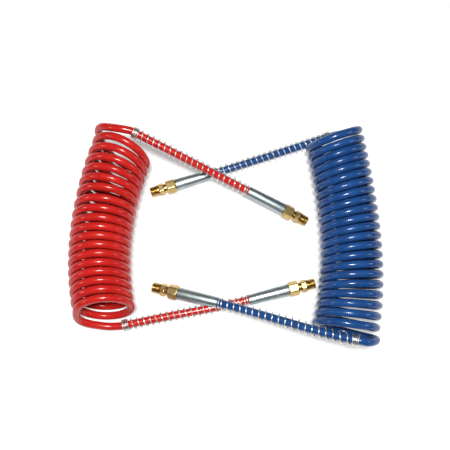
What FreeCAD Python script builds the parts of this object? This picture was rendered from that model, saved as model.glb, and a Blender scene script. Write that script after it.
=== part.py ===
import FreeCAD, Part
import math
import os
import re

import Sketcher

# A pair of coiled air hoses, one red and one blue, lying crossed on a table.
# Every hose is one tube: a front lead, a wound coil and a back lead.
# Every lead carries a spring guard, a grip sleeve and a brass fitting with a swivelling thread.

os.makedirs("parts", exist_ok=True)
doc = FreeCAD.newDocument("coiled_air_hoses")
Vector = FreeCAD.Vector
UP = Vector(0, 0, 1)

SIZES = {
    # tube of the hoses
    "tube_dia": 12.0,
    "tube_bore": 9.0,
    "fit_gap": 0.05,
    "running_gap": 0.1,
    # brass swivel end, from the open end of its thread
    "air_bore": 7.0,
    "thread_dia": 17.14,
    "thread_len": 13.0,
    "thread_chamfer": 0.8,
    "small_hex_af": 17.46,
    "small_hex_len": 9.5,
    "neck_dia": 14.0,
    "neck_len": 3.5,
    "shank_dia": 12.0,
    "shank_len": 13.2,
    "swivel_gap": 0.3,
    "seal_groove_dia": 9.4,
    "seal_groove_at": 3.5,
    "seal_groove_len": 2.2,
    "ring_groove_dia": 10.4,
    "ring_groove_at": 9.4,
    "ring_groove_len": 1.4,
    "ring_thickness": 1.1,
    "ring_dia": 13.8,
    "ring_opening": 40.0,
    "hex_overlap": 0.4,
    "crown_slope": 30.0,
    # brass hex body
    "large_hex_af": 20.6,
    "large_hex_len": 16.0,
    "wall_len": 4.4,
    "stub_dia": 15.6,
    "stub_len": 15.0,
    # ferrule and tube insert
    "ferrule_len": 5.4,
    "ferrule_wall": 1.0,
    "ferrule_chamfer": 0.6,
    "insert_bore": 7.8,
    "insert_len": 17.0,
    "flange_len": 1.0,
    # zinc-plated grip sleeve
    "sleeve_len": 64.0,
    "sleeve_hex_dia": 19.2,
    "sleeve_mouth_dia": 16.1,
    "sleeve_clearance": 0.5,
    "sleeve_chamfer": 0.5,
    "sleeve_cone_len": 1.5,
    # spring guard
    "spring_wire": 1.95,
    "spring_dia": 17.0,
    "spring_grip_dia": 14.3,
    "spring_pitch_closed": 2.42,
    "spring_curls": 25,
    "spring_seat_gap": 0.2,
}

sheet = doc.addObject("Spreadsheet::Sheet", "Sizes")
for row, (alias, number) in enumerate(SIZES.items(), start=1):
    sheet.set("A%d" % row, alias)
    sheet.set("B%d" % row, str(number))
    sheet.setAlias("B%d" % row, alias)
doc.recompute()

# Stations along a fitting, measured from the open end of its thread
NECK_AT = "thread_len + small_hex_len"
HEX_AT = NECK_AT + " + neck_len"
SHANK_END = HEX_AT + " + shank_len"
SEAL_AT = HEX_AT + " + seal_groove_at"
RING_AT = HEX_AT + " + ring_groove_at"
SLEEVE_AT = HEX_AT + " + large_hex_len"
SEAT_AT = SHANK_END + " + swivel_gap + wall_len"
STUB_END = SLEEVE_AT + " + stub_len"
FERRULE_AT = STUB_END + " + running_gap"
FERRULE_END = FERRULE_AT + " + ferrule_len"
TUBE_AT = SEAT_AT + " + flange_len + 2 * fit_gap"
MOUTH_AT = SLEEVE_AT + " + sleeve_len"


def bound(text):
    """The expression with every size's name pointing at its cell."""
    return re.sub(r"[a-z_]+", lambda word: "Sizes." + word[0] if word[0] in SIZES else word[0], text)


def size(text):
    """The number that an expression of sizes gives."""
    answer = sheet.evalExpression(bound(text))
    return float(getattr(answer, "Value", answer))


def origin_plane(body, role):
    return [item for item in body.Origin.OriginFeatures if item.Role == role][0]


def outline_sketch(body, name, plane, outlines):
    """Closed outlines of straight lines, whose corners are bound to the sizes."""
    sketch = body.newObject("Sketcher::SketchObject", name)
    sketch.AttachmentSupport = [(origin_plane(body, plane), "")]
    sketch.MapMode = "FlatFace"
    for corners in outlines:
        first = sketch.GeometryCount
        count = len(corners)
        places = [Vector(size(across), size(along), 0) for across, along in corners]
        for index in range(count):
            sketch.addGeometry(Part.LineSegment(places[index], places[(index + 1) % count]), False)
        for index in range(count):
            following = first + (index + 1) % count
            sketch.addConstraint(Sketcher.Constraint("Coincident", first + index, 2, following, 1))
        for index, corner in enumerate(corners):
            for kind, text in zip(("DistanceX", "DistanceY"), corner):
                number = sketch.addConstraint(Sketcher.Constraint(kind, -1, 1, first + index, 1, size(text)))
                sketch.setExpression("Constraints[%d]" % number, bound(text))
    return sketch


def turn(body, name, outlines, feature="Revolution", angle=360):
    """Outlines of radius and height, turned about the local Z axis."""
    turned = body.newObject("PartDesign::" + feature, name)
    turned.Profile = outline_sketch(body, name + "_outline", "XZ_Plane", outlines)
    turned.ReferenceAxis = (turned.Profile[0], ["V_Axis"])
    turned.Angle = angle
    body.Tip = turned
    return turned


def hexagon(body, name, across_flats, start, length, inner_radius):
    """A hexagon with a round hole, then its corners turned off at both ends."""
    corners = [("%s / sqrt(3) * cos(%d)" % (across_flats, 60 * side),
                "%s / sqrt(3) * sin(%d)" % (across_flats, 60 * side)) for side in range(6)]
    sketch = outline_sketch(body, name + "_outline", "XY_Plane", [corners])
    sketch.setExpression("AttachmentOffset.Base.z", bound(start))
    hole = sketch.addGeometry(Part.Circle(Vector(0, 0, 0), UP, size(inner_radius)), False)
    sketch.addConstraint(Sketcher.Constraint("Coincident", hole, 3, -1, 1))
    number = sketch.addConstraint(Sketcher.Constraint("Radius", hole, size(inner_radius)))
    sketch.setExpression("Constraints[%d]" % number, bound(inner_radius))
    pad = body.newObject("PartDesign::Pad", name)
    pad.Profile = sketch
    pad.setExpression("Length", bound(length))
    body.Tip = pad
    flat = across_flats + " / 2"
    outside = across_flats + " * 0.6"
    depth = "(%s - %s) * tan(crown_slope)" % (outside, flat)
    end = start + " + " + length
    low = [(flat, start), (outside, start), (outside, start + " + " + depth)]
    high = [(flat, end), (outside, end + " - " + depth), (outside, end)]
    turn(body, name + "_crown", [low, high], "Groove")


def new_body(name):
    body = doc.addObject("PartDesign::Body", name)
    body.Label = name
    return body


def swivel_end(name):
    """Male pipe thread, small hexagon, neck and a shank with two grooves."""
    body = new_body(name)
    bore, shank = "air_bore / 2", "shank_dia / 2"
    seal, ring = "seal_groove_dia / 2", "ring_groove_dia / 2"
    face = HEX_AT + " - swivel_gap"
    turn(body, "blank", [[
        (bore, "0 * thread_len"), ("thread_dia / 2 - thread_chamfer", "0 * thread_len"),
        ("thread_dia / 2", "thread_chamfer"), ("thread_dia / 2", "thread_len"),
        ("neck_dia / 2", "thread_len"), ("neck_dia / 2", face), (shank, face),
        (shank, SEAL_AT), (seal, SEAL_AT), (seal, SEAL_AT + " + seal_groove_len"),
        (shank, SEAL_AT + " + seal_groove_len"), (shank, RING_AT), (ring, RING_AT),
        (ring, RING_AT + " + ring_groove_len"), (shank, RING_AT + " + ring_groove_len"),
        (shank, SHANK_END), (bore, SHANK_END)]])
    hexagon(body, "small_hex", "small_hex_af", "thread_len", "small_hex_len", "neck_dia / 2 - hex_overlap")
    return body


def hex_body(name):
    """Large hexagon and sleeve stub, bored for the shank at one end and for the tube at the other."""
    body = new_body(name)
    shank = "shank_dia / 2 + running_gap"
    groove = "ring_dia / 2 + fit_gap"
    seat = "tube_dia / 2 + running_gap"
    floor = SHANK_END + " + swivel_gap"
    turn(body, "blank", [[
        (shank, HEX_AT), ("stub_dia / 2", HEX_AT), ("stub_dia / 2", STUB_END), (seat, STUB_END),
        (seat, SEAT_AT), ("air_bore / 2", SEAT_AT), ("air_bore / 2", floor), (shank, floor),
        (shank, RING_AT + " + ring_groove_len"), (groove, RING_AT + " + ring_groove_len"),
        (groove, RING_AT), (shank, RING_AT)]])
    hexagon(body, "large_hex", "large_hex_af", HEX_AT, "large_hex_len", "stub_dia / 2 - hex_overlap")
    return body


def snap_ring(name):
    """Flat wire ring with an opening, sprung into the groove of the hex body."""
    body = new_body(name)
    inner, outer = "ring_groove_dia / 2 + running_gap", "ring_dia / 2"
    low = RING_AT + " + (ring_groove_len - ring_thickness) / 2"
    high = low + " + ring_thickness"
    turn(body, "ring", [[(inner, low), (outer, low), (outer, high), (inner, high)]],
         angle=360 - size("ring_opening"))
    return body


def o_ring(name):
    """Rubber ring, squeezed between the seal groove and the bore."""
    ring = doc.addObject("Part::Torus", name)
    ring.Label = name
    bore = "(shank_dia / 2 + running_gap)"
    ring.setExpression("Radius1", bound("(%s + seal_groove_dia / 2) / 2" % bore))
    ring.setExpression("Radius2", bound("(%s - seal_groove_dia / 2) / 2 - fit_gap" % bore))
    return ring


def ferrule(name):
    """Ring with tapered ends that bites on the tube."""
    body = new_body(name)
    inner = "tube_dia / 2 + fit_gap"
    outer = inner + " + ferrule_wall"
    turn(body, "ring", [[
        (inner, FERRULE_AT), (outer + " - ferrule_chamfer", FERRULE_AT),
        (outer, FERRULE_AT + " + ferrule_chamfer"), (outer, FERRULE_END + " - ferrule_chamfer"),
        (outer + " - ferrule_chamfer", FERRULE_END), (inner, FERRULE_END)]])
    return body


def tube_insert(name):
    """Flanged liner inside the tube's end."""
    body = new_body(name)
    inner = "insert_bore / 2"
    outer = "tube_bore / 2 - fit_gap"
    start = SEAT_AT + " + fit_gap"
    turn(body, "liner", [[
        (inner, start), ("tube_dia / 2", start), ("tube_dia / 2", start + " + flange_len"),
        (outer, start + " + flange_len"), (outer, start + " + insert_len"), (inner, start + " + insert_len")]])
    return body


def grip_sleeve(name):
    """Long sleeve, wide at the hexagon and narrow at the spring guard."""
    body = new_body(name)
    socket = "stub_dia / 2 + fit_gap"
    passage = "tube_dia / 2 + sleeve_clearance"
    start = SLEEVE_AT + " + fit_gap"
    cone = FERRULE_END + " + running_gap"
    turn(body, "sleeve", [[
        (socket, start), ("sleeve_hex_dia / 2 - sleeve_chamfer", start),
        ("sleeve_hex_dia / 2", start + " + sleeve_chamfer"),
        ("sleeve_mouth_dia / 2", MOUTH_AT + " - sleeve_chamfer"),
        ("sleeve_mouth_dia / 2 - sleeve_chamfer", MOUTH_AT),
        (passage, MOUTH_AT), (passage, cone + " + sleeve_cone_len"), (socket, cone)]])
    return body


FITTING_PIECES = {
    "swivel_end": swivel_end,
    "hex_body": hex_body,
    "snap_ring": snap_ring,
    "ferrule": ferrule,
    "tube_insert": tube_insert,
    "grip_sleeve": grip_sleeve,
}


def direction(azimuth, rise):
    """Unit vector at an azimuth from +X and a rise above the floor, in degrees."""
    flat = math.cos(math.radians(rise))
    return Vector(flat * math.cos(math.radians(azimuth)), flat * math.sin(math.radians(azimuth)),
                  math.sin(math.radians(rise)))


# Where the open end of each thread lies, and how its fitting points towards the hose.
# A fitting with no rise lies on a flat of its large hexagon. The others stand on the thread's edge.
TIPS = {
    "red_front": (139.3, -77.7, 194.25, 0.0),
    "red_back": (129.7, 21.9, 155.0, 12.9),
    "blue_front": (-112.6, -83.9, -14.2, 10.6),
    "blue_back": (-120.3, 69.6, 17.5, 0.0),
}
FIRST_RUN_PAST_MOUTH = {"red_front": 31.0, "red_back": 34.0, "blue_front": 14.0, "blue_back": 31.0}

# The rest of each lead, up to where its coil begins
LEAD_POINTS = {
    "red_front": [(-84.5, -128.0, 10.3), (-158.0, -143.1, 10.3)],
    "red_back": [(-64.5, 110.3, 62.6), (-142.0, 144.1, 86.9)],
    "blue_front": [(80.0, -137.4, 53.6), (152.0, -160.3, 75.5), (189.0, -168.2, 86.5)],
    "blue_back": [(97.8, 140.1, 10.3), (172.4, 165.6, 10.3)],
}


def tip_place(end):
    """The thread's open end and the fitting's direction."""
    x, y, azimuth, rise = TIPS[end]
    if rise == 0:
        height = size("large_hex_af / 2")
    else:
        edge = size("thread_dia / 2") * math.cos(math.radians(rise))
        height = edge - size("thread_chamfer") * math.sin(math.radians(rise))
    return Vector(x, y, height), direction(azimuth, rise)


def lead_route(end):
    tip, along = tip_place(end)
    start = tip + along * size(TUBE_AT)
    corner = tip + along * (size(MOUTH_AT) + FIRST_RUN_PAST_MOUTH[end])
    return [start, corner] + [Vector(*point) for point in LEAD_POINTS[end]]


def rounded_pieces(points):
    """Straight runs joined by tangent arcs, each piece as start, tangent, normal, radius and length."""
    pieces = []
    start = points[0]
    for before, corner, after in zip(points, points[1:], points[2:]):
        run_in, run_out = corner - before, after - corner
        turn_angle = run_in.getAngle(run_out)
        cut = 0.45 * min(run_in.Length, run_out.Length)
        radius = cut / math.tan(turn_angle / 2)
        tangent = Vector(run_in).normalize()
        leaving = Vector(run_out).normalize()
        normal = (leaving - tangent * tangent.dot(leaving)).normalize()
        arc_start = corner - tangent * cut
        pieces.append((start, tangent, None, None, (arc_start - start).Length))
        pieces.append((arc_start, tangent, normal, radius, radius * turn_angle))
        start = corner + leaving * cut
    pieces.append((start, (points[-1] - start).normalize(), None, None, (points[-1] - start).Length))
    return pieces


def point_on(piece, distance):
    start, tangent, normal, radius, length = piece
    if radius is None:
        return start + tangent * distance, tangent
    angle = distance / radius
    place = start + tangent * (radius * math.sin(angle)) + normal * (radius * (1 - math.cos(angle)))
    return place, tangent * math.cos(angle) + normal * math.sin(angle)


def point_along(pieces, distance):
    """The point and the tangent at a distance along a route, straight on past either end."""
    for piece in pieces[:-1]:
        if distance <= piece[4]:
            return point_on(piece, distance)
        distance -= piece[4]
    return point_on(pieces[-1], distance)


def route_length(pieces):
    return sum(piece[4] for piece in pieces)


def route_wire(pieces):
    edges = []
    for piece in pieces:
        length = piece[4]
        begin, middle, end = (point_on(piece, length * share)[0] for share in (0, 0.5, 1))
        if piece[3] is None:
            edges.append(Part.LineSegment(begin, end).toShape())
        else:
            edges.append(Part.Arc(begin, middle, end).toShape())
    return Part.Wire(edges)


def biarc_edges(first, first_tangent, last, last_tangent):
    """Two arcs that leave the first point and reach the last one along the given tangents."""
    chord = last - first
    both = first_tangent + last_tangent
    spread = 2 * (1 - first_tangent.dot(last_tangent))
    lean = chord.dot(both)
    reach = (-lean + math.sqrt(lean * lean + spread * chord.dot(chord))) / spread
    first_corner = first + first_tangent * reach
    last_corner = last - last_tangent * reach
    joint = (first_corner + last_corner) / 2
    edges = []
    for begin, corner, end in ((first, first_corner, joint), (joint, last_corner, last)):
        middle = (begin + end) / 2
        slope = (end - begin).Length / 2 / reach
        edges.append(Part.Arc(begin, middle + (corner - middle) * (slope / (1 + slope)), end).toShape())
    return edges


def wound_wire(places, tangents, start=None, end=None):
    """Biarcs through the places, with straight ends from start and to end where they are given."""
    edges = []
    if start is not None:
        edges.append(Part.LineSegment(start, places[0]).toShape())
    for index in range(len(places) - 1):
        edges += biarc_edges(places[index], tangents[index], places[index + 1], tangents[index + 1])
    if end is not None:
        edges.append(Part.LineSegment(places[-1], end).toShape())
    return Part.Wire(edges)


def swept(wire, diameter):
    """Round bar along a wire."""
    edge = wire.OrderedEdges[0]
    start = edge.valueAt(edge.FirstParameter)
    tangent = edge.tangentAt(edge.FirstParameter)
    if (start - wire.OrderedVertexes[0].Point).Length > 1e-6:
        start = wire.OrderedVertexes[0].Point
        tangent = -edge.tangentAt(edge.LastParameter)
    profile = Part.Wire([Part.Circle(start, tangent, diameter / 2).toShape()])
    return wire.makePipeShell([profile], True, False)


def hollow_tube(wire):
    return swept(wire, size("tube_dia")).cut(swept(wire, size("tube_bore")))


def least_gap(name, wire, thickness, spacing):
    """Prints and returns the least gap between stretches of a wound wire that aren't neighbours."""
    count = int(wire.Length / spacing)
    places = wire.discretize(Number=count)
    skip = int(2.5 * thickness / spacing) + 1
    nearest = min((places[i] - places[j]).Length
                  for i in range(count) for j in range(i + skip, min(count, i + skip + int(400 / spacing))))
    gap = nearest - thickness
    print("%s: %d edges, length %.1f mm, least gap to itself %.2f mm" % (name, len(wire.Edges), wire.Length, gap))
    return gap


# Front, middle and back values of each column of turns, and its wider or narrower gaps.
# Heading and yaw are in degrees, and so is the lean of the turns away from upright.
COILS = {
    "red": {
        "turns": 18.5, "start_angle": -90.0, "centre": (-178.85, -129.3),
        "radius": (40.8, 41.6, 43.8), "heading": (14.1, -4.6, -18.9), "pitch": (14.6, 13.9, 16.5),
        "yaw": (5.3, -5.0, -29.0), "lean": (19.8, 10.7, 15.2),
        "gaps": {10.5: 0.8, 12.0: 3.2, 17.9: -2.2},
    },
    "blue": {
        "turns": 22.5, "start_angle": 90.0, "centre": (173.7, -158.3),
        "radius": (43.6, 40.45, 40.9), "heading": (-15.8, 2.3, 9.85), "pitch": (15.04, 13.68, 15.19),
        "yaw": (-13.3, 7.7, 16.3), "lean": (-2.3, -3.0, -12.0),
        "gaps": {17.8: -0.8, 18.8: -0.8, 19.8: -0.8, 20.8: -0.8},
    },
}
STEPS_PER_TURN = 40


def blended(values, share):
    """The parabola through a front, a middle and a back value."""
    front, middle, back = values
    return (front * (1 - share) * (1 - 2 * share) + 4 * middle * share * (1 - share)
            + back * share * (2 * share - 1))


def coil_places(coil):
    """Points along the turns, a fixed number to each turn."""
    turns = coil["turns"]
    count = int(turns * STEPS_PER_TURN)
    tube_radius = size("tube_dia / 2")
    x, y = coil["centre"]
    places = []
    for index in range(-1, count + 2):
        turn_number = index / STEPS_PER_TURN
        share = turn_number / turns
        if index >= 0:
            middle = turn_number - 0.5 / STEPS_PER_TURN
            heading = math.radians(blended(coil["heading"], middle / turns))
            pitch = blended(coil["pitch"], middle / turns)
            for gap_turn, extra in coil["gaps"].items():
                if abs(middle - gap_turn) < 1:
                    pitch += extra * (1 + math.cos(math.pi * (middle - gap_turn))) / 2
            if index > 0:
                x -= math.sin(heading) * pitch / STEPS_PER_TURN
                y += math.cos(heading) * pitch / STEPS_PER_TURN
        radius = blended(coil["radius"], share)
        yaw = math.radians(blended(coil["yaw"], share))
        lean = math.radians(blended(coil["lean"], share))
        angle = math.radians(coil["start_angle"] - 360 * turn_number)
        across = Vector(math.cos(yaw), math.sin(yaw), 0)
        upward = Vector(-math.sin(yaw) * math.sin(lean), math.cos(yaw) * math.sin(lean), math.cos(lean))
        centre = Vector(x, y, tube_radius + radius * math.cos(lean))
        places.append(centre + across * (radius * math.cos(angle)) + upward * (radius * math.sin(angle)))
    return places


def coil_wire(colour):
    """The turns in quarter-turn biarcs, with both ends led straight into the leads."""
    places = coil_places(COILS[colour])
    quarter = STEPS_PER_TURN // 4
    chosen = range(1 + quarter, len(places) - 1 - quarter, quarter)
    points = [places[index] for index in chosen]
    tangents = [(places[index + 1] - places[index - 1]).normalize() for index in chosen]
    ends = {}
    for side in ("front", "back"):
        route = lead_route(colour + "_" + side)
        outward = (route[-1] - route[-2]).normalize()
        ends[side] = (route[-1], route[-1] + outward * size("tube_dia"), outward)
    points = [ends["front"][1]] + points + [ends["back"][1]]
    tangents = [ends["front"][2]] + tangents + [-ends["back"][2]]
    return wound_wire(points, tangents, ends["front"][0], ends["back"][0])


def ramp_area(turn_number):
    """Area under a ramp that climbs from 0 to 1 over one turn and then stays at 1."""
    if turn_number < 0:
        return 0
    if turn_number < 1:
        return turn_number * turn_number / 2
    return turn_number - 0.5


def spring_wire(end):
    """Curls about the lead: a tight one at the grip, wide open ones, then closed ones at the coil."""
    pieces = rounded_pieces(lead_route(end))
    curls = size("spring_curls")
    wire = size("spring_wire")
    closed = size("spring_pitch_closed")
    closed_curls = 3
    start = size(MOUTH_AT) - size(TUBE_AT) + wire / 2 + size("spring_seat_gap")
    finish = route_length(pieces) - wire / 2
    opened = closed + (finish - start - closed * curls) / (curls - closed_curls - 2)

    def place(curl):
        widening = min(1, max(0, curl - 0.5))
        radius = size("spring_grip_dia") / 2 + (size("spring_dia") - size("spring_grip_dia")) / 2 * widening
        climb = ramp_area(curl - 1) - ramp_area(curl - (curls - closed_curls - 1))
        centre, tangent = point_along(pieces, start + closed * curl + (opened - closed) * climb)
        across = tangent.cross(UP).normalize()
        upward = across.cross(tangent)
        angle = -2 * math.pi * curl
        return centre + across * (radius * math.cos(angle)) + upward * (radius * math.sin(angle))

    halves = [half / 2 for half in range(int(2 * curls) + 1)]
    step = 0.01
    points = [place(curl) for curl in halves]
    tangents = [(place(curl + step) - place(curl - step)).normalize() for curl in halves]
    print("%s spring: open pitch %.2f mm" % (end, opened))
    return wound_wire(points, tangents, points[0] - tangents[0] * wire, points[-1] + tangents[-1] * wire)


def add_form(name, shape):
    form = doc.addObject("Part::Feature", name)
    form.Label = name
    form.Shape = shape
    form.Placement = FreeCAD.Placement()
    return form


def check_volume(name, shape, length, outer, inner=0):
    expected = math.pi / 4 * (outer * outer - inner * inner) * length
    print("%s: volume %.0f mm3, section times length %.0f mm3" % (name, shape.Volume, expected))
    if abs(shape.Volume / expected - 1) > 0.02:
        raise ValueError(name + ": the swept volume is wrong")


nodes = []
for end in TIPS:
    tip, along = tip_place(end)
    across = along.cross(UP).normalize()
    turned = FreeCAD.Rotation(across, Vector(), along, "ZXY")
    place = FreeCAD.Placement(tip, turned)
    for kind, make in FITTING_PIECES.items():
        piece = make(end + "_" + kind)
        piece.Placement = place
        nodes.append(piece)
    seal = o_ring(end + "_o_ring")
    seal.Placement = place.multiply(FreeCAD.Placement(Vector(0, 0, size(SEAL_AT + " + seal_groove_len / 2")),
                                                      FreeCAD.Rotation()))
    nodes.append(seal)
    print("%s tip (%.3f, %.3f, %.3f) along (%.5f, %.5f, %.5f)" % ((end,) + tuple(tip) + tuple(along)))

for end in TIPS:
    pieces = rounded_pieces(lead_route(end))
    print(end, "lead radii", ["%.0f" % piece[3] for piece in pieces if piece[3]])
    lead = hollow_tube(route_wire(pieces))
    check_volume(end + "_lead", lead, route_length(pieces), size("tube_dia"), size("tube_bore"))
    nodes.append(add_form(end + "_lead", lead))
    curls = spring_wire(end)
    if least_gap(end + "_spring_guard", curls, size("spring_wire"), 0.8) < 0.4:
        raise ValueError(end + ": the spring's curls are too close")
    spring = swept(curls, size("spring_wire"))
    check_volume(end + "_spring_guard", spring, curls.Length, size("spring_wire"))
    nodes.append(add_form(end + "_spring_guard", spring))

for colour in COILS:
    turns = coil_wire(colour)
    if least_gap(colour + "_coil", turns, size("tube_dia"), 3) < 0.4:
        raise ValueError(colour + ": the coil's turns are too close")
    coil = hollow_tube(turns)
    check_volume(colour + "_coil", coil, turns.Length, size("tube_dia"), size("tube_bore"))
    nodes.append(add_form(colour + "_coil", coil))

doc.recompute()
for item in doc.Objects:
    if "Invalid" in item.State or "Error" in item.State:
        raise ValueError(item.Label + " failed to recompute")
whole = FreeCAD.BoundBox()
for node in nodes:
    if node.Shape.isNull() or not node.Shape.isValid() or not node.Shape.Solids:
        raise ValueError(node.Label + " is not a valid solid")
    whole.add(node.Shape.BoundBox)
for node in nodes:
    node.Shape.exportStep("parts/%s.step" % node.Label)
print("whole", whole)
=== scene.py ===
import math

import bmesh
import bpy
from mathutils import Matrix, Vector


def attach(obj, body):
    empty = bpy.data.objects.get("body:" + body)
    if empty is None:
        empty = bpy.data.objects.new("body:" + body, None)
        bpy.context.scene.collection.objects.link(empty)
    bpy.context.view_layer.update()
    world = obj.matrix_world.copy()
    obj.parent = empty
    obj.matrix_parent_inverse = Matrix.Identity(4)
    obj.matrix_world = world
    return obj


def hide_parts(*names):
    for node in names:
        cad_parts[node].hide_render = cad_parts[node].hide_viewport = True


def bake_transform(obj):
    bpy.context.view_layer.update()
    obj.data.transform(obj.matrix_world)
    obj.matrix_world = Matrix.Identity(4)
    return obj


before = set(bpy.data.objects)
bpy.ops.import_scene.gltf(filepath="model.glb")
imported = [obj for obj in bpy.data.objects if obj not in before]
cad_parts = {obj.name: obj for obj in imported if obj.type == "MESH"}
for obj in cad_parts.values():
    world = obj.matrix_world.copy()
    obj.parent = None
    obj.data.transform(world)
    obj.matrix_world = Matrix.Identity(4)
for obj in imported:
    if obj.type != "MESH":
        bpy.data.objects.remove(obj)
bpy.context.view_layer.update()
MM = 0.001

# Camera
# The pair lies on a table and is seen from high above its front edge, 13 degrees off straight down.
# The picture is square, and its angle of view comes from a moderate telephoto lens.
CAMERA_TARGET = Vector((-0.5, 18.0, 0.0)) * MM
CAMERA_DISTANCE = 950 * MM
CAMERA_ELEVATION = math.radians(77)
SENSOR_WIDTH = 36.0
FOCAL_LENGTH = 47.04

camera_data = bpy.data.cameras.new("camera")
camera_data.sensor_width = SENSOR_WIDTH
camera_data.lens = FOCAL_LENGTH
camera = bpy.data.objects.new("camera", camera_data)
bpy.context.scene.collection.objects.link(camera)
back_and_up = Vector((0, -math.cos(CAMERA_ELEVATION), math.sin(CAMERA_ELEVATION)))
camera.location = CAMERA_TARGET + back_and_up * CAMERA_DISTANCE
camera.rotation_euler = (math.pi / 2 - CAMERA_ELEVATION, 0, 0)
bpy.context.scene.camera = camera

# Hoses
# Each hose is one nylon tube of 12 mm by 9 mm, extruded in its colour and heat-set round a bar into a coil.
# Both ends run straight from the coil into a fitting, and one of them is drawn out as the coil stretches.
TUBE = 12.0 * MM
UP = Vector((0, 0, 1))
THREAD_LENGTH = 13.0 * MM
SMALL_HEX_LENGTH = 9.5 * MM
NECK_LENGTH = 3.5 * MM
LARGE_HEX_LENGTH = 16.0 * MM
SLEEVE_LENGTH = 64.0 * MM
THREAD_DIAMETER = 17.14 * MM
THREAD_CHAMFER = 0.8 * MM
LARGE_HEX_FLATS = 20.6 * MM
LARGE_HEX_AT = THREAD_LENGTH + SMALL_HEX_LENGTH + NECK_LENGTH
SLEEVE_AT = LARGE_HEX_AT + LARGE_HEX_LENGTH
MOUTH_AT = SLEEVE_AT + SLEEVE_LENGTH
HELD_IN_MOUTH = 12.0 * MM

# Where each threaded end lies, how it points towards the hose, and the first run past the sleeve's mouth,
# in mm and degrees
FITTING_ENDS = {
    "red_front": {"x": 139.3, "y": -77.7, "azimuth": 194.25, "rise": 0.0, "first_run": 31.0},
    "red_back": {"x": 129.7, "y": 21.9, "azimuth": 155.0, "rise": 12.9, "first_run": 34.0},
    "blue_front": {"x": -112.6, "y": -83.9, "azimuth": -14.2, "rise": 10.6, "first_run": 14.0},
    "blue_back": {"x": -120.3, "y": 69.6, "azimuth": 17.5, "rise": 0.0, "first_run": 31.0},
}
# The other points of each lead, the last of them at the coil end of its spring guard
LEAD_POINTS = {
    "red_front": [(-84.5, -128.0, 10.3), (-158.0, -143.1, 10.3)],
    "red_back": [(-64.5, 110.3, 62.6), (-142.0, 144.1, 86.9)],
    "blue_front": [(80.0, -137.4, 53.6), (152.0, -160.3, 75.5), (189.0, -168.2, 86.5)],
    "blue_back": [(97.8, 140.1, 10.3), (172.4, 165.6, 10.3)],
}
# Straight length past each spring guard, then the change of azimuth and of rise with which the hose goes on
PAST_GUARD = {
    "red_front": {"straight": 4.0, "turn": -9.0, "climb": 0.0},
    "red_back": {"straight": 3.0, "turn": 17.0, "climb": -6.0},
    "blue_front": {"straight": 1.0, "turn": 0.0, "climb": -30.0},
    "blue_back": {"straight": 6.0, "turn": -5.0, "climb": 0.0},
}
# Front, middle and back values of each column of turns, and its wider or narrower gaps by number of turn
COILS = {
    "red": {
        "turns": 18.5, "start_angle": -90.0, "centre": (-178.85, -129.3),
        "radius": (40.8, 41.6, 43.8), "heading": (14.1, -4.6, -18.9), "pitch": (14.6, 13.9, 16.5),
        "yaw": (5.3, -5.0, -29.0), "lean": (19.8, 10.7, 15.2),
        "gaps": {10.5: 0.8, 12.0: 3.2, 17.9: -2.2},
    },
    "blue": {
        "turns": 22.5, "start_angle": 90.0, "centre": (173.7, -158.3),
        "radius": (43.6, 40.45, 40.9), "heading": (-15.8, 2.3, 9.85), "pitch": (15.04, 13.68, 15.19),
        "yaw": (-13.3, 7.7, 16.3), "lean": (-2.3, -3.0, -12.0),
        "gaps": {17.8: -0.8, 18.8: -0.8, 19.8: -0.8, 20.8: -0.8},
    },
}
POINTS_PER_TURN = 16
STEPS_PER_POINT = 6
# The share of the control points' distance from the axis at which the spline passes between them
SPLINE_SHORTFALL = math.cos(math.pi / POINTS_PER_TURN)


def direction(azimuth, rise):
    """Unit vector at an azimuth from +X and a rise above the floor, in degrees."""
    flat = math.cos(math.radians(rise))
    return Vector((flat * math.cos(math.radians(azimuth)), flat * math.sin(math.radians(azimuth)),
                   math.sin(math.radians(rise))))


def fitting_place(end):
    """The frame of a fitting: its origin at the thread's open end and its Z axis towards the hose."""
    lie = FITTING_ENDS[end]
    along = direction(lie["azimuth"], lie["rise"])
    across = along.cross(UP).normalized()
    height = LARGE_HEX_FLATS / 2
    if lie["rise"]:
        tilt = math.radians(lie["rise"])
        height = THREAD_DIAMETER / 2 * math.cos(tilt) - THREAD_CHAMFER * math.sin(tilt)
    place = Matrix((across, along.cross(across), along)).transposed().to_4x4()
    place.translation = Vector((lie["x"] * MM, lie["y"] * MM, height))
    return place


def lead_route(end):
    """The lead's own points, from just inside the sleeve's mouth to where the coil begins."""
    place = fitting_place(end)
    inside = place @ Vector((0, 0, MOUTH_AT - HELD_IN_MOUTH))
    corner = place @ Vector((0, 0, MOUTH_AT + FITTING_ENDS[end]["first_run"] * MM))
    return [inside, corner] + [Vector(point) * MM for point in LEAD_POINTS[end]]


def blended(values, share):
    """The parabola through a front, a middle and a back value."""
    front, middle, back = values
    return (front * (1 - share) * (1 - 2 * share) + 4 * middle * share * (1 - share)
            + back * share * (2 * share - 1))


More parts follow.
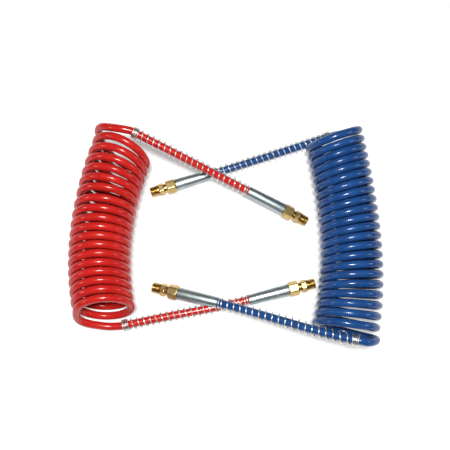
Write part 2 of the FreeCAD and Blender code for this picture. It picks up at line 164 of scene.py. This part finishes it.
def coil_points(coil):
    """Points round the turns, a fixed number to each turn, on the line that the turns follow."""
    turns = coil["turns"]
    count = int(turns * POINTS_PER_TURN)
    x, y = (number * MM for number in coil["centre"])
    points = []
    for index in range(count + 1):
        turn = index / POINTS_PER_TURN
        if index > 0:
            middle = turn - 0.5 / POINTS_PER_TURN
            heading = math.radians(blended(coil["heading"], middle / turns))
            pitch = blended(coil["pitch"], middle / turns)
            for gap_turn, extra in coil["gaps"].items():
                if abs(middle - gap_turn) < 1:
                    pitch += extra * (1 + math.cos(math.pi * (middle - gap_turn))) / 2
            x -= math.sin(heading) * pitch * MM / POINTS_PER_TURN
            y += math.cos(heading) * pitch * MM / POINTS_PER_TURN
        radius = blended(coil["radius"], turn / turns) * MM
        yaw = math.radians(blended(coil["yaw"], turn / turns))
        lean = math.radians(blended(coil["lean"], turn / turns))
        angle = math.radians(coil["start_angle"] - 360 * turn)
        across = Vector((math.cos(yaw), math.sin(yaw), 0))
        upward = Vector((-math.sin(yaw) * math.sin(lean), math.cos(yaw) * math.sin(lean), math.cos(lean)))
        centre = Vector((x, y, TUBE / 2 + radius * math.cos(lean)))
        reach = radius / SPLINE_SHORTFALL
        points.append(centre + across * (reach * math.cos(angle)) + upward * (reach * math.sin(angle)))
    return points


def swing(first, first_tangent, last, last_tangent):
    """The two corners between a straight lead and a turn, with a middle leg as long as both others."""
    chord = last - first
    both = first_tangent + last_tangent
    spread = 2 * (1 - first_tangent.dot(last_tangent))
    lean = chord.dot(both)
    reach = (-lean + math.sqrt(lean * lean + spread * chord.dot(chord))) / spread
    return [first + first_tangent * reach, last - last_tangent * reach]


def to_coil(end, turns):
    """Points of one lead, from its fitting to the first full quarter of the given turns."""
    route = lead_route(end)
    past = PAST_GUARD[end]
    leaving = (route[-1] - route[-2]).normalized()
    bend = route[-1] + leaving * past["straight"] * MM
    azimuth = math.degrees(math.atan2(leaving.y, leaving.x)) + past["turn"]
    onward = direction(azimuth, math.degrees(math.asin(leaving.z)) + past["climb"])
    return route + [bend] + swing(bend, onward, turns[0], (turns[1] - turns[0]).normalized())


def hose_points(colour):
    """All control points of one hose, from its front fitting to its back fitting."""
    turns = coil_points(COILS[colour])
    quarter = POINTS_PER_TURN // 4
    turns = turns[quarter:len(turns) - quarter]
    front = to_coil(colour + "_front", turns)
    back = to_coil(colour + "_back", turns[::-1])
    return front + turns[1:-1] + back[::-1]


def smooth_line(name, points):
    """Points along the smooth spline that follows the given control points."""
    curve = bpy.data.curves.new(name, "CURVE")
    curve.dimensions = "3D"
    spline = curve.splines.new("NURBS")
    spline.points.add(len(points) - 1)
    for control, point in zip(spline.points, points):
        control.co = (*point, 1)
    spline.order_u = 3
    spline.use_endpoint_u = True
    curve.resolution_u = STEPS_PER_POINT
    holder = bpy.data.objects.new(name, curve)
    bpy.context.scene.collection.objects.link(holder)
    line = bpy.data.meshes.new_from_object(holder.evaluated_get(bpy.context.evaluated_depsgraph_get()))
    places = [vertex.co.copy() for vertex in line.vertices]
    bpy.data.meshes.remove(line)
    bpy.data.objects.remove(holder)
    bpy.data.curves.remove(curve)
    return places


def distances(line):
    """Distance along a line at each of its points."""
    travelled = [0.0]
    for before, after in zip(line, line[1:]):
        travelled.append(travelled[-1] + (after - before).length)
    return travelled


def loft(name, rings, lengths, material, closed_ends=True):
    """A skin over rings of points, with a UV of the share round it and the distance along it."""
    sides = len(rings[0])
    faces = []
    layout = []
    for row in range(len(rings) - 1):
        for side in range(sides):
            following = (side + 1) % sides
            faces.append((row * sides + side, row * sides + following,
                          (row + 1) * sides + following, (row + 1) * sides + side))
            low, high = lengths[row], lengths[row + 1]
            left, right = side / sides, (side + 1) / sides
            layout += [(left, low), (right, low), (right, high), (left, high)]
    if closed_ends:
        last = (len(rings) - 1) * sides
        faces += [tuple(range(sides))[::-1], tuple(range(last, last + sides))]
        layout += [(0, lengths[0])] * sides + [(0, lengths[-1])] * sides
    mesh = bpy.data.meshes.new(name)
    mesh.from_pydata([point for ring in rings for point in ring], [], faces)
    uv = mesh.uv_layers.new(name="round_and_along")
    for corner, place in zip(uv.data, layout):
        corner.uv = place
    mesh.shade_smooth()
    mesh.materials.append(material)
    piece = bpy.data.objects.new(name, mesh)
    bpy.context.scene.collection.objects.link(piece)
    return piece


def bar_rings(line, radius, sides):
    """Rings round a line that turn with it without twisting."""
    normal = (line[1] - line[0]).orthogonal().normalized()
    rings = []
    for index, place in enumerate(line):
        tangent = (line[min(index + 1, len(line) - 1)] - line[max(index - 1, 0)]).normalized()
        normal = (normal - tangent * normal.dot(tangent)).normalized()
        binormal = tangent.cross(normal)
        rings.append([place + (normal * math.cos(angle) + binormal * math.sin(angle)) * radius
                      for angle in (math.tau * side / sides for side in range(sides))])
    return rings


class Finish:
    """A new material, with ways to add its nodes and to drive its colour, gloss and relief."""

    def __init__(self, name):
        self.material = bpy.data.materials.new(name)
        self.material.use_nodes = True
        self.tree = self.material.node_tree
        self.principled = self.tree.nodes["Principled BSDF"]

    def add(self, kind, links=(), **settings):
        node = self.tree.nodes.new("ShaderNode" + kind)
        for setting, value in settings.items():
            setattr(node, setting, value)
        for socket, source in links:
            if isinstance(source, bpy.types.NodeSocket):
                self.tree.links.new(source, node.inputs[socket])
            else:
                node.inputs[socket].default_value = source
        return node

    def fix(self, socket, value):
        self.principled.inputs[socket].default_value = value

    def feed(self, socket, source):
        self.tree.links.new(source, self.principled.inputs[socket])

    def stretched(self, source, scale):
        return self.add("Mapping", [("Vector", source), ("Scale", scale)]).outputs["Vector"]

    def noise(self, source, scale, detail):
        texture = self.add("TexNoise", [("Vector", source), ("Scale", scale), ("Detail", detail)])
        return texture.outputs["Fac"]

    def tint(self, source, *stops):
        ramp = self.add("ValToRGB", [("Fac", source)])
        for element, (position, colour) in zip(ramp.color_ramp.elements, stops):
            element.position = position
            element.color = (*colour, 1)
        self.feed("Base Color", ramp.outputs["Color"])

    def gloss(self, source, low, high):
        roughness = self.add("MapRange", [("Value", source), ("To Min", low), ("To Max", high)])
        self.feed("Roughness", roughness.outputs["Result"])

    def relief(self, source, strength, distance):
        bump = self.add("Bump", [("Strength", strength), ("Distance", distance), ("Height", source)])
        self.feed("Normal", bump.outputs["Normal"])


NYLON_IOR = 1.46


def hose_material(name, colour, deep):
    """Glossy extruded nylon: fine lines along the tube, slightly cloudy colour and patches of scuffing."""
    finish = Finish(name)
    finish.fix("IOR", NYLON_IOR)
    skin = finish.add("UVMap", uv_map="round_and_along").outputs["UV"]
    solid = finish.add("TexCoord").outputs["Object"]
    lines = finish.noise(finish.stretched(skin, (60, 9, 1)), 1.0, 3.0)
    clouds = finish.noise(solid, 45.0, 4.0)
    finish.tint(clouds, (0.32, deep), (0.68, colour))
    finish.gloss(clouds, 0.17, 0.25)
    finish.relief(lines, 0.12, 0.2 * MM)
    return finish.material


# The bright and the deep tone of each hose
HOSE_COLOURS = {
    "red": ((0.60, 0.020, 0.015), (0.52, 0.015, 0.012)),
    "blue": ((0.015, 0.075, 0.255), (0.011, 0.056, 0.200)),
}
HOSE_SIDES = 24
MOVING_END = {"red": "red_front", "blue": "blue_back"}

hose_lines = {}
lead_lengths = {}
for colour, (bright, deep) in HOSE_COLOURS.items():
    line = smooth_line(colour + "_line", hose_points(colour))
    travelled = distances(line)
    hose_lines[colour] = line
    for end in (colour + "_front", colour + "_back"):
        joint = Vector(LEAD_POINTS[end][-1]) * MM
        nearest = min(range(len(line)), key=lambda index: (line[index] - joint).length)
        lead_lengths[end] = travelled[nearest]
        if end.endswith("back"):
            lead_lengths[end] = travelled[-1] - travelled[nearest]
    hose = loft(colour + "_hose", bar_rings(line, TUBE / 2, HOSE_SIDES), travelled,
                hose_material(colour + "_nylon", bright, deep))
    moving = MOVING_END[colour]
    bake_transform(hose)
    # Each point's share along the coil for an even stretch, 0 at the drawn-out end's lead and 1 at the other
    # lead; nothing uses it, so the hose does not stretch here
    first = lead_lengths[colour + "_front"]
    last = travelled[-1] - lead_lengths[colour + "_back"]
    shares = [min(1, max(0, (distance - first) / (last - first))) for distance in travelled]
    if moving.endswith("back"):
        shares = [1 - share for share in shares]
    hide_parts(colour + "_coil", colour + "_front_lead", colour + "_back_lead")
    print(colour, "hose", round(travelled[-1], 4), "m between the sleeves")

# Spring guards
# Bend protectors of zinc-plated spring wire, 17 mm outside, slid over each lead up to the sleeve's mouth.
# The curls stand wide apart, with one tight curl at the sleeve and three closed curls at the coil.
WIRE = 1.95 * MM
SPRING_DIAMETER = 17.0 * MM
SPRING_GRIP_DIAMETER = 14.3 * MM
CLOSED_PITCH = 2.42 * MM
CURLS = 25
GRIP_CURLS = 1
CLOSED_CURLS = 3
SPRING_SEAT_GAP = 0.2 * MM
RINGS_PER_CURL = 32
WIRE_SIDES = 12


def spring_steel_material():
    """Bright zinc plating over drawn wire: dull patches, and faint lines along the wire."""
    finish = Finish("plated_spring_wire")
    finish.fix("Metallic", 1.0)
    skin = finish.add("UVMap", uv_map="round_and_along").outputs["UV"]
    solid = finish.add("TexCoord").outputs["Object"]
    lines = finish.noise(finish.stretched(skin, (14, 120, 1)), 1.0, 2.0)
    patches = finish.noise(solid, 160.0, 4.0)
    finish.tint(patches, (0.35, (0.66, 0.66, 0.62)), (0.6, (0.90, 0.91, 0.89)))
    finish.gloss(patches, 0.30, 0.42)
    finish.relief(lines, 0.2, 0.1 * MM)
    return finish.material


def place_at(line, travelled, distance):
    """The point and the tangent at a distance along a line."""
    index = 0
    while index < len(line) - 2 and travelled[index + 1] < distance:
        index += 1
    step = line[index + 1] - line[index]
    return line[index] + step * ((distance - travelled[index]) / step.length), step.normalized()


def climbed(curl):
    """Area under a ramp that climbs from 0 to 1 over one curl and then stays at 1."""
    if curl < 0:
        return 0
    return curl * curl / 2 if curl < 1 else curl - 0.5


def spring_line(end):
    """The wire's centreline, curled about the lead from the sleeve's mouth to the coil."""
    line = hose_lines[end.split("_")[0]]
    if end.endswith("back"):
        line = line[::-1]
    travelled = distances(line)
    start = HELD_IN_MOUTH + WIRE / 2 + SPRING_SEAT_GAP
    stop = lead_lengths[end] - WIRE / 2
    opening = GRIP_CURLS
    closing = CURLS - CLOSED_CURLS - 1
    opened = CLOSED_PITCH + (stop - start - CLOSED_PITCH * CURLS) / (closing - opening)
    places = []
    for step in range(CURLS * RINGS_PER_CURL + 1):
        curl = step / RINGS_PER_CURL
        widening = min(1, max(0, curl - GRIP_CURLS / 2))
        radius = (SPRING_GRIP_DIAMETER + (SPRING_DIAMETER - SPRING_GRIP_DIAMETER) * widening) / 2
        climb = climbed(curl - opening) - climbed(curl - closing)
        distance = start + CLOSED_PITCH * curl + (opened - CLOSED_PITCH) * climb
        centre, tangent = place_at(line, travelled, distance)
        across = tangent.cross(UP).normalized()
        upward = across.cross(tangent)
        angle = -math.tau * curl
        places.append(centre + (across * math.cos(angle) + upward * math.sin(angle)) * radius)
    return places


def body_of_end(end):
    """The body that carries a fitting: the coil's own, or the one that is drawn out."""
    return end + "_end" if end in MOVING_END.values() else "root"


spring_steel = spring_steel_material()
for end in FITTING_ENDS:
    wire = spring_line(end)
    guard = loft(end + "_guard", bar_rings(wire, WIRE / 2, WIRE_SIDES), distances(wire), spring_steel)
    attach(guard, body_of_end(end))
    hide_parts(end + "_spring_guard")

# Grip sleeves
# Long drawn-steel sleeves, zinc plated and passivated pale blue, wide at the hexagon, narrow at the spring.
# Each screws onto the stub of its hex body and squeezes the ferrule on the tube.
SLEEVE_WIDE = 19.2 * MM
SLEEVE_NARROW = 16.1 * MM
SLEEVE_SOCKET = 15.7 * MM
SLEEVE_PASSAGE = 13.0 * MM
SLEEVE_CONE_AT = 20.7 * MM
SLEEVE_CONE = 1.5 * MM
SLEEVE_SEAT_GAP = 0.05 * MM
SLEEVE_EDGE = 0.7 * MM
SHARE_OF_SIDE = 0.4
ARC_STEPS = 4
TURNED_SIDES = 96
WELD_DISTANCE = 1e-7
SHARP_EDGE = math.radians(38)


def eased(outline, edge):
    """An outline of radius and height with its corners rounded, each over a part of its two sides."""
    rounded = []
    count = len(outline)
    for index in range(count):
        before, corner, after = (Vector(outline[(index + offset) % count]) for offset in (-1, 0, 1))
        cut = min(edge, SHARE_OF_SIDE * min((corner - before).length, (after - corner).length))
        start = corner + (before - corner).normalized() * cut
        end = corner + (after - corner).normalized() * cut
        for step in range(ARC_STEPS + 1):
            share = step / ARC_STEPS
            rounded.append(start.lerp(corner, share).lerp(corner.lerp(end, share), share))
    return rounded


def turned(name, outline, material, shape=None):
    """A closed outline turned about the Z axis, where shape may change the radius with the angle."""
    rings = []
    for radius, height in outline + [outline[0]]:
        ring = []
        for side in range(TURNED_SIDES):
            angle = math.tau * side / TURNED_SIDES
            reach = shape(radius, height, angle) if shape else radius
            ring.append(Vector((reach * math.cos(angle), reach * math.sin(angle), height)))
        rings.append(ring)
    lengths = [0.0]
    for before, after in zip(rings, rings[1:]):
        lengths.append(lengths[-1] + (after[0] - before[0]).length)
    return loft(name, rings, lengths, material, closed_ends=False)


def finished(piece, end, kind, body):
    """Welds and places a turned piece on its fitting and lets it stand for its node."""
    built = bmesh.new()
    built.from_mesh(piece.data)
    bmesh.ops.remove_doubles(built, verts=built.verts, dist=WELD_DISTANCE)
    bmesh.ops.recalc_face_normals(built, faces=built.faces)
    built.to_mesh(piece.data)
    built.free()
    piece.data.set_sharp_from_angle(angle=SHARP_EDGE)
    piece.matrix_world = fitting_place(end)
    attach(piece, body)
    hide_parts(end + "_" + kind)


def sleeve_material():
    """Zinc-plated drawn steel: faint rings from drawing, cloudy passivation and a few dull spots."""
    finish = Finish("plated_sleeve")
    finish.fix("Metallic", 1.0)
    solid = finish.add("TexCoord").outputs["Object"]
    rings = finish.noise(finish.stretched(solid, (30, 30, 1600)), 1.0, 3.0)
    clouds = finish.noise(solid, 110.0, 5.0)
    finish.tint(clouds, (0.36, (0.40, 0.47, 0.47)), (0.62, (0.50, 0.58, 0.59)))
    finish.gloss(clouds, 0.38, 0.50)
    finish.relief(rings, 0.15, 0.1 * MM)
    return finish.material


plated_sleeve = sleeve_material()
for end in FITTING_ENDS:
    start = SLEEVE_AT + SLEEVE_SEAT_GAP
    outline = eased([
        (SLEEVE_WIDE / 2, start), (SLEEVE_NARROW / 2, MOUTH_AT), (SLEEVE_PASSAGE / 2, MOUTH_AT),
        (SLEEVE_PASSAGE / 2, SLEEVE_AT + SLEEVE_CONE_AT + SLEEVE_CONE),
        (SLEEVE_SOCKET / 2, SLEEVE_AT + SLEEVE_CONE_AT), (SLEEVE_SOCKET / 2, start)], SLEEVE_EDGE)
    sleeve = turned(end + "_sleeve", outline, plated_sleeve)
    finished(sleeve, end, "grip_sleeve", body_of_end(end))

# Hex bodies
# Turned from hexagon bar of free-cutting brass, with a large hexagon for the spanner and a sleeve stub.
# The corners of the hexagon are turned off in a deep crown at both ends, and cutting leaves fine rings.
LARGE_HEX_HOLE = 12.2 * MM
STUB_DIAMETER = 15.6 * MM
STUB_LENGTH = 15.0 * MM
TUBE_SEAT = 12.2 * MM
CROWN_SLOPE = math.radians(36)
CROWN_CUT = 1.2 * MM
CROWN_ROWS = 8
HEX_CORNER = 0.25 * MM


def hexagonal(flats, start, end):
    """Radius of a hexagon bar between two heights, crowned at both ends and with its corners eased."""
    def shape(radius, height, angle):
        if radius < flats / 2 - HEX_CORNER:
            return radius
        off_flat = (angle + math.pi / 6) % (math.pi / 3) - math.pi / 6
        bar = flats / 2 / math.cos(math.pi / 6 - abs(off_flat))
        bar = min(bar, flats / math.sqrt(3) - HEX_CORNER)
        inward = max(0, min(height - start, end - height))
        return min(bar, radius - CROWN_CUT + inward / math.tan(CROWN_SLOPE))
    return shape


def hexagon_rows(flats, start, end):
    """Heights from start to end, close together at the crowned ends."""
    crown = (flats / math.sqrt(3) - flats / 2 + CROWN_CUT) * math.tan(CROWN_SLOPE)
    rows = [crown * row / CROWN_ROWS for row in range(CROWN_ROWS + 1)]
    return [(flats / 2, start + row) for row in rows] + [(flats / 2, end - row) for row in rows[::-1]]


def brass_material():
    """Turned brass, slightly tarnished: warm clouds, browner spots and fine cutting rings."""
    finish = Finish("turned_brass")
    finish.fix("Metallic", 1.0)
    solid = finish.add("TexCoord").outputs["Object"]
    rings = finish.noise(finish.stretched(solid, (40, 40, 2600)), 1.0, 2.0)
    clouds = finish.noise(solid, 120.0, 3.0)
    finish.tint(clouds, (0.34, (0.54, 0.37, 0.13)), (0.6, (0.70, 0.51, 0.22)))
    finish.gloss(clouds, 0.26, 0.36)
    finish.relief(rings, 0.12, 0.1 * MM)
    return finish.material


turned_brass = brass_material()
for end in FITTING_ENDS:
    hole, stub = LARGE_HEX_HOLE / 2, STUB_DIAMETER / 2
    outline = [Vector((hole, LARGE_HEX_AT))]
    outline += [Vector(row) for row in hexagon_rows(LARGE_HEX_FLATS, LARGE_HEX_AT, SLEEVE_AT)]
    outline += [Vector((stub, SLEEVE_AT)), Vector((stub, SLEEVE_AT + STUB_LENGTH)),
                Vector((TUBE_SEAT / 2, SLEEVE_AT + STUB_LENGTH))]
    hex_body = turned(end + "_large_hexagon", outline, turned_brass,
                      hexagonal(LARGE_HEX_FLATS, LARGE_HEX_AT, SLEEVE_AT))
    finished(hex_body, end, "hex_body", body_of_end(end))

# Swivel ends
# Male taper pipe threads of 18 turns to the inch on a smaller brass hexagon, with a neck and a plain shank.
# The shank turns in the hex body, held by a snap ring and sealed by a rubber ring, both out of sight.
AIR_BORE = 7.0 * MM
SMALL_HEX_FLATS = 17.46 * MM
NECK_DIAMETER = 14.0 * MM
SHANK_DIAMETER = 12.0 * MM
SHANK_LENGTH = 13.2 * MM
SWIVEL_GAP = 0.3 * MM
THREAD_PITCH = 25.4 / 18 * MM
THREAD_DEPTH = 0.8 * MM
THREAD_TAPER = 1 / 16
THREAD_RUNOUT = 1.0 * MM
CREST_FLAT = 0.08
FLANK_SLOPE = 1.15
CHAMFER_FOOT = 1.1 * MM
ROWS_PER_THREAD = 10


def thread_radius(height, angle):
    """Radius of the taper thread, which fades out into the chamfer and the hexagon's face."""
    crest = THREAD_DIAMETER / 2 - (THREAD_LENGTH - height) * THREAD_TAPER / 2
    phase = (height / THREAD_PITCH - angle / math.tau) % 1
    flank = abs(2 * phase - 1)
    cut = THREAD_DEPTH * min(1, max(0, FLANK_SLOPE * flank - CREST_FLAT))
    fade = min(1, max(0, (THREAD_LENGTH - THREAD_RUNOUT - height) / THREAD_PITCH))
    return min(crest - cut * fade, THREAD_DIAMETER / 2 - CHAMFER_FOOT + height)


def swivel_shape(radius, height, angle):
    """Radius all along the swivel end: thread, small hexagon, then round as drawn."""
    if height < THREAD_LENGTH and radius > NECK_DIAMETER / 2:
        return thread_radius(height, angle)
    return hexagonal(SMALL_HEX_FLATS, THREAD_LENGTH, THREAD_LENGTH + SMALL_HEX_LENGTH)(radius, height, angle)


thread_rows = int(THREAD_LENGTH / THREAD_PITCH * ROWS_PER_THREAD)
for end in FITTING_ENDS:
    bore, neck, shank = AIR_BORE / 2, NECK_DIAMETER / 2, SHANK_DIAMETER / 2
    face = LARGE_HEX_AT - SWIVEL_GAP
    outline = [Vector((bore, 0)), Vector((neck, 0))]
    outline += [Vector((THREAD_DIAMETER / 2, THREAD_LENGTH * row / thread_rows))
                for row in range(thread_rows)]
    outline += [Vector((neck, THREAD_LENGTH))]
    outline += [Vector(row) for row in
                hexagon_rows(SMALL_HEX_FLATS, THREAD_LENGTH, THREAD_LENGTH + SMALL_HEX_LENGTH)]
    outline += [Vector((neck, THREAD_LENGTH + SMALL_HEX_LENGTH)), Vector((neck, face)), Vector((shank, face)),
                Vector((shank, LARGE_HEX_AT + SHANK_LENGTH)), Vector((bore, LARGE_HEX_AT + SHANK_LENGTH))]
    swivel = turned(end + "_threaded_end", outline, turned_brass, swivel_shape)
    finished(swivel, end, "swivel_end", end + "_swivel")

# Pieces inside the fittings
# Each fitting also holds a brass ferrule, a brass liner in the tube, a wire snap ring and a rubber seal.
# They keep their own shapes, and get the finish of what they are made of.


def rubber_material():
    """Black seal rubber, dull and slightly uneven."""
    finish = Finish("seal_rubber")
    finish.fix("Base Color", (0.02, 0.02, 0.02, 1))
    solid = finish.add("TexCoord").outputs["Object"]
    finish.gloss(finish.noise(solid, 400.0, 3.0), 0.55, 0.75)
    return finish.material


INNER_FINISHES = {"ferrule": turned_brass, "tube_insert": turned_brass, "snap_ring": spring_steel,
                  "o_ring": rubber_material()}
for end in FITTING_ENDS:
    for kind, finish in INNER_FINISHES.items():
        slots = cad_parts[end + "_" + kind].material_slots
        for material_slot in slots:
            material_slot.material = finish

# Floor and light
# A plain white table top under a soft light overhead, with a weak soft light low on either side.
# The surround is a dim grey, and what the metal mirrors of it gets darker towards the horizon, as in a room.
FLOOR_SIDE = 6.0
FLOOR_GREY = 0.70
FLOOR_GLOW = 0.36
LIGHTS = {
    "overhead": {"place": (0.0, -0.15, 1.6), "size": (0.30, 0.20), "power": 28.0},
    "left": {"place": (-1.5, -0.1, 0.75), "size": (0.5, 0.3), "power": 3.0},
    "right": {"place": (1.5, -0.1, 0.75), "size": (0.5, 0.3), "power": 3.0},
}
SURROUND_LIGHT = 0.28
SURROUND_SEEN = 1.0
MIRRORED_HORIZON = {"From Min": 0.05, "From Max": 0.55, "To Min": 0.10, "To Max": 1.0}


def seen_or_mirrored(tree):
    """1 for rays from the camera, and for those from metal or through clear plastic."""
    rays = tree.nodes.new("ShaderNodeLightPath")
    total = rays.outputs["Is Camera Ray"]
    for name in ("Is Glossy Ray", "Is Transmission Ray"):
        both = tree.nodes.new("ShaderNodeMath")
        both.operation = "MAXIMUM"
        tree.links.new(total, both.inputs[0])
        tree.links.new(rays.outputs[name], both.inputs[1])
        total = both.outputs[0]
    return total


def floor_material():
    """White table top that takes the shadow of the hoses."""
    finish = Finish("white_table")
    finish.fix("Base Color", (FLOOR_GREY, FLOOR_GREY, FLOOR_GREY, 1))
    finish.fix("Roughness", 0.9)
    finish.fix("Emission Color", (1, 1, 1, 1))
    seen = seen_or_mirrored(finish.tree)
    lift = finish.add("Math", [(0, seen), (1, FLOOR_GLOW)], operation="MULTIPLY")
    finish.feed("Emission Strength", lift.outputs[0])
    return finish.material


def choose(tree, factor, without, with_it):
    """One number where a light path's output is 0 and another where it is 1."""
    choice = tree.nodes.new("ShaderNodeMix")
    choice.data_type = "FLOAT"
    for socket, source in (("Factor", factor), ("A", without), ("B", with_it)):
        if isinstance(source, bpy.types.NodeSocket):
            tree.links.new(source, choice.inputs[socket])
        else:
            choice.inputs[socket].default_value = source
    return choice.outputs["Result"]


def dim_surround():
    """The default grey world, at its own strength for the camera, for mirrors and for light."""
    world = bpy.data.worlds.new("surround")
    bpy.context.scene.world = world
    world.use_nodes = True
    tree = world.node_tree
    place = tree.nodes.new("ShaderNodeTexCoord")
    height = tree.nodes.new("ShaderNodeSeparateXYZ")
    tree.links.new(place.outputs["Generated"], height.inputs[0])
    ramp = tree.nodes.new("ShaderNodeMapRange")
    for socket, value in MIRRORED_HORIZON.items():
        ramp.inputs[socket].default_value = value
    tree.links.new(height.outputs["Z"], ramp.inputs["Value"])
    rays = tree.nodes.new("ShaderNodeLightPath")
    mirrored = choose(tree, rays.outputs["Is Glossy Ray"], SURROUND_LIGHT, ramp.outputs["Result"])
    strength = choose(tree, rays.outputs["Is Camera Ray"], mirrored, SURROUND_SEEN)
    tree.links.new(strength, tree.nodes["Background"].inputs["Strength"])


def area_light(name, place, size, power):
    """A soft rectangular light that faces the middle of the pair."""
    light = bpy.data.lights.new(name, "AREA")
    light.shape = "RECTANGLE"
    light.size, light.size_y = size
    light.energy = power
    holder = bpy.data.objects.new(name, light)
    holder.location = place
    holder.rotation_mode = "QUATERNION"
    holder.rotation_quaternion = Vector(place).to_track_quat("Z", "Y")
    bpy.context.scene.collection.objects.link(holder)


floor_mesh = bpy.data.meshes.new("table_top")
half = FLOOR_SIDE / 2
floor_corners = [(-half, -half, 0), (half, -half, 0), (half, half, 0), (-half, half, 0)]
floor_mesh.from_pydata(floor_corners, [], [(0, 1, 2, 3)])
floor_mesh.materials.append(floor_material())
table_top = bpy.data.objects.new("table_top", floor_mesh)
bpy.context.scene.collection.objects.link(table_top)
dim_surround()
for name, light in LIGHTS.items():
    area_light(name, light["place"], light["size"], light["power"])
bpy.context.scene.view_settings.view_transform = "Standard"
